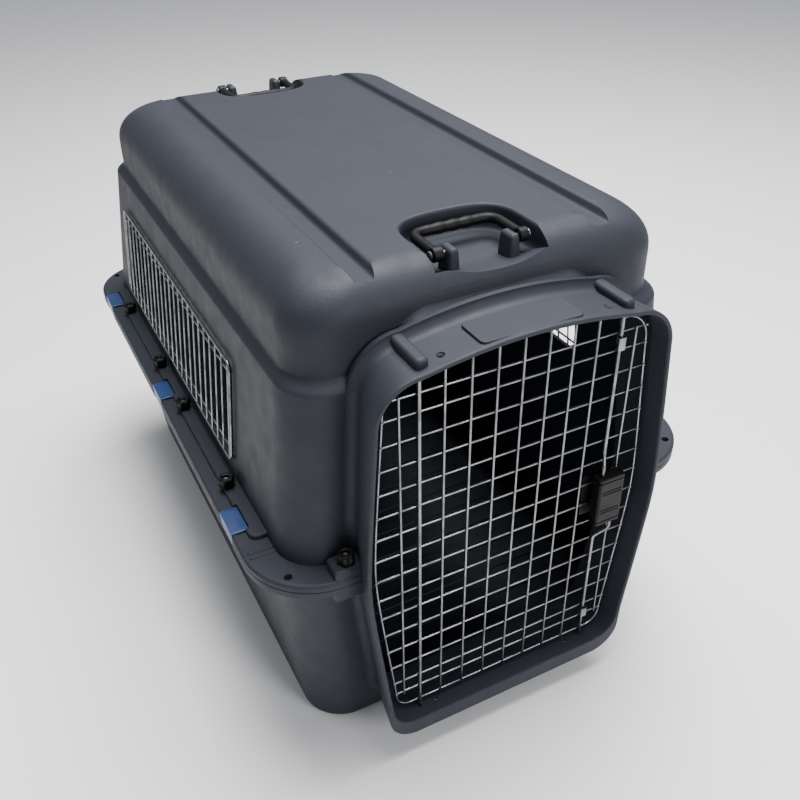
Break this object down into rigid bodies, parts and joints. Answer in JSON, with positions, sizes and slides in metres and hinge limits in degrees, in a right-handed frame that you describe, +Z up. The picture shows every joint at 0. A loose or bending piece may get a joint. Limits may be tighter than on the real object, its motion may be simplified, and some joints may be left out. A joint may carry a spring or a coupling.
{
  "type": "pet transport carrier",
  "caption": "Large two-shell plastic pet carrier with a hinged wire door and squeeze latch, wire vents, folding roof handles, hand nuts and snap clips on the rim.",
  "frame": {"origin": "middle of the bounding box, on the surface the carrier stands on", "axes": "+Z up, -Y towards the door, +X to the right seen from the front"},
  "size_m": [0.516, 0.81, 0.554],
  "materials": {
    "shell_plastic": "moulded polypropylene with a fine grain, dark blue-grey",
    "chrome_wire": "bright plated steel wire",
    "black_nylon": "moulded black nylon, satin",
    "clip_blue": "moulded blue acetal",
    "zinc_steel": "zinc-plated steel"
  },
  "bodies": {
    "root": {"bottom_shell": "shell_plastic", "top_shell": "shell_plastic", "left_vent_grille": "chrome_wire", "right_vent_grille": "chrome_wire", "rear_vent_grille": "chrome_wire", "front_handle_pin_a": "zinc_steel", "front_handle_pin_b": "zinc_steel", "rear_handle_pin_a": "zinc_steel", "rear_handle_pin_b": "zinc_steel", "bolt_left_1": "zinc_steel", "hand_nut_left_1": "black_nylon", "bolt_left_2": "zinc_steel", "hand_nut_left_2": "black_nylon", "bolt_left_3": "zinc_steel", "hand_nut_left_3": "black_nylon", "bolt_left_4": "zinc_steel", "hand_nut_left_4": "black_nylon", "bolt_left_front": "zinc_steel", "hand_nut_left_front": "black_nylon", "bolt_left_rear": "zinc_steel", "hand_nut_left_rear": "black_nylon", "bolt_right_1": "zinc_steel", "hand_nut_right_1": "black_nylon", "bolt_right_2": "zinc_steel", "hand_nut_right_2": "black_nylon", "bolt_right_3": "zinc_steel", "hand_nut_right_3": "black_nylon", "bolt_right_4": "zinc_steel", "hand_nut_right_4": "black_nylon", "bolt_right_front": "zinc_steel", "hand_nut_right_front": "black_nylon", "bolt_right_rear": "zinc_steel", "hand_nut_right_rear": "black_nylon"},
    "door": {"door_grille": "chrome_wire", "hinge_rod": "chrome_wire", "latch_housing": "black_nylon", "latch_back_plate": "black_nylon", "upper_rod_guide": "chrome_wire", "lower_rod_guide": "chrome_wire", "upper_latch_spring": "zinc_steel", "lower_latch_spring": "zinc_steel"},
    "upper_latch": {"upper_latch_rod": "chrome_wire", "upper_latch_pad": "black_nylon"},
    "lower_latch": {"lower_latch_rod": "chrome_wire", "lower_latch_pad": "black_nylon"},
    "front_handle": {"front_handle": "black_nylon"},
    "rear_handle": {"rear_handle": "black_nylon"},
    "clip_left_front": {"rim_clip_left_front": "clip_blue"},
    "clip_left_middle": {"rim_clip_left_middle": "clip_blue"},
    "clip_left_rear": {"rim_clip_left_rear": "clip_blue"},
    "clip_right_front": {"rim_clip_right_front": "clip_blue"},
    "clip_right_middle": {"rim_clip_right_middle": "clip_blue"},
    "clip_right_rear": {"rim_clip_right_rear": "clip_blue"}
  },
  "joints": [
    {"name": "door_hinge", "type": "hinge", "parent": "root", "child": "door", "pos_m": [-0.107, -0.3887, 0.267], "axis": [0, 0, -1], "range_deg": [0, 138]},
    {"name": "upper_latch_slide", "type": "slide", "parent": "door", "child": "upper_latch", "axis": [0, 0, 1], "range_m": [0, 0.01], "stiffness_N_per_m": 300, "springref_m": 0.012, "deforming": ["upper_latch_spring"]},
    {"name": "lower_latch_slide", "type": "slide", "parent": "door", "child": "lower_latch", "axis": [0, 0, -1], "range_m": [0, 0.01], "stiffness_N_per_m": 300, "springref_m": 0.012, "deforming": ["lower_latch_spring"]},
    {"name": "front_handle_fold", "type": "hinge", "parent": "root", "child": "front_handle", "pos_m": [0, -0.306, 0.546], "axis": [1, 0, 0], "range_deg": [0, 100]},
    {"name": "rear_handle_fold", "type": "hinge", "parent": "root", "child": "rear_handle", "pos_m": [0, 0.306, 0.546], "axis": [-1, 0, 0], "range_deg": [0, 100]},
    {"name": "clip_left_front_snap", "type": "hinge", "parent": "root", "child": "clip_left_front", "pos_m": [-0.2547, -0.254, 0.26235], "axis": [0, -1, 0], "range_deg": [0, 80]},
    {"name": "clip_left_middle_snap", "type": "hinge", "parent": "root", "child": "clip_left_middle", "pos_m": [-0.2547, 0.018, 0.26235], "axis": [0, -1, 0], "range_deg": [0, 80]},
    {"name": "clip_left_rear_snap", "type": "hinge", "parent": "root", "child": "clip_left_rear", "pos_m": [-0.2547, 0.29, 0.26235], "axis": [0, -1, 0], "range_deg": [0, 80]},
    {"name": "clip_right_front_snap", "type": "hinge", "parent": "root", "child": "clip_right_front", "pos_m": [0.2547, -0.254, 0.26235], "axis": [0, 1, 0], "range_deg": [0, 80]},
    {"name": "clip_right_middle_snap", "type": "hinge", "parent": "root", "child": "clip_right_middle", "pos_m": [0.2547, 0.018, 0.26235], "axis": [0, 1, 0], "range_deg": [0, 80]},
    {"name": "clip_right_rear_snap", "type": "hinge", "parent": "root", "child": "clip_right_rear", "pos_m": [0.2547, 0.29, 0.26235], "axis": [0, 1, 0], "range_deg": [0, 80]}
  ]
}
